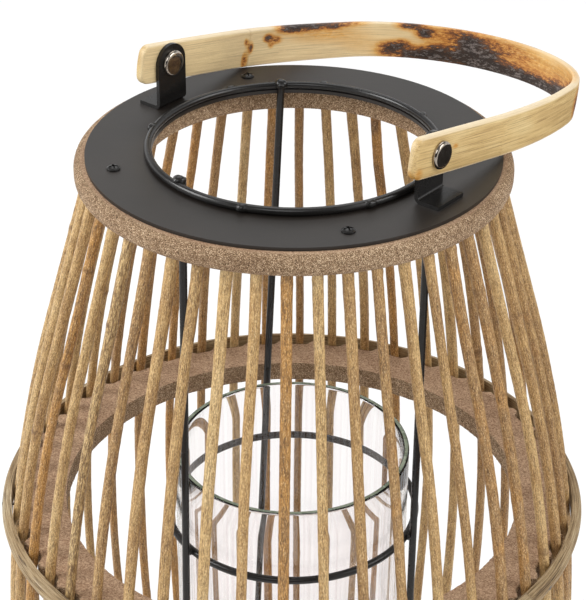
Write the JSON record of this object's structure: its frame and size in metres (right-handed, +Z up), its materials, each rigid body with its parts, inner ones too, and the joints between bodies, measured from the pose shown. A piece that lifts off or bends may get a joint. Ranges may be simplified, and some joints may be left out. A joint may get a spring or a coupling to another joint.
{
  "type": "candle lantern",
  "caption": "Barrel-shaped garden candle lantern of thin upright sticks on fibreboard rings, with a folding bamboo handle and a wire cage that holds a lift-out glass cup.",
  "frame": {"origin": "centre of the base ring's underside, on the ground", "axes": "+Z up the lantern's axis; +X along the handle's pivot, towards one of its two brackets; +Y towards the far side of the folded handle"},
  "size_m": [0.2514, 0.2811, 0.4087],
  "materials": {
    "black_steel": "satin black powder coat",
    "fibreboard": "bare fibreboard with a rounded, speckled edge",
    "stick_wood": "thin satin varnish over bark flecks",
    "cane": "matt split cane with long grain",
    "bamboo": "satin bamboo strip with scorch marks",
    "nickel": "polished nickel",
    "brad_steel": "dull steel",
    "clear_glass": "clear pressed glass"
  },
  "bodies": {
    "lantern": {"top_plate": "black_steel", "rim_wire": "black_steel", "top_ring": "fibreboard", "plate_screws": "black_steel", "bracket_right": "black_steel", "bracket_left": "black_steel", "rivet_stud_right": "nickel", "rivet_stud_left": "nickel", "rivet_cap_right": "nickel", "rivet_cap_left": "nickel", "upright_a": "black_steel", "upright_b": "black_steel", "upright_c": "black_steel", "basket_ring": "black_steel", "cage_foot_ring": "black_steel", "cup_rests": "black_steel", "mid_ring": "fibreboard", "mid_hoop": "cane", "hoop_brads": "brad_steel", "base_ring": "fibreboard", "sticks_01": "stick_wood", "sticks_02": "stick_wood", "sticks_03": "stick_wood", "sticks_04": "stick_wood", "sticks_05": "stick_wood", "sticks_06": "stick_wood", "sticks_07": "stick_wood", "sticks_08": "stick_wood", "sticks_09": "stick_wood", "sticks_10": "stick_wood", "sticks_11": "stick_wood", "sticks_12": "stick_wood", "sticks_13": "stick_wood", "sticks_14": "stick_wood", "sticks_15": "stick_wood", "sticks_16": "stick_wood", "sticks_17": "stick_wood", "sticks_18": "stick_wood", "sticks_19": "stick_wood", "sticks_20": "stick_wood", "sticks_21": "stick_wood", "sticks_22": "stick_wood", "sticks_23": "stick_wood"},
    "handle": {"handle": "bamboo"},
    "cup": {"glass_cup": "clear_glass"}
  },
  "joints": [
    {"name": "handle_fold", "type": "hinge", "parent": "lantern", "child": "handle", "pos_m": [0, 0, 0.3985], "axis": [1, 0, 0], "range_deg": [0, 202]},
    {"name": "cup_lift", "type": "slide", "parent": "lantern", "child": "cup", "axis": [0, 0, 1], "range_m": [0, 0.3]}
  ]
}
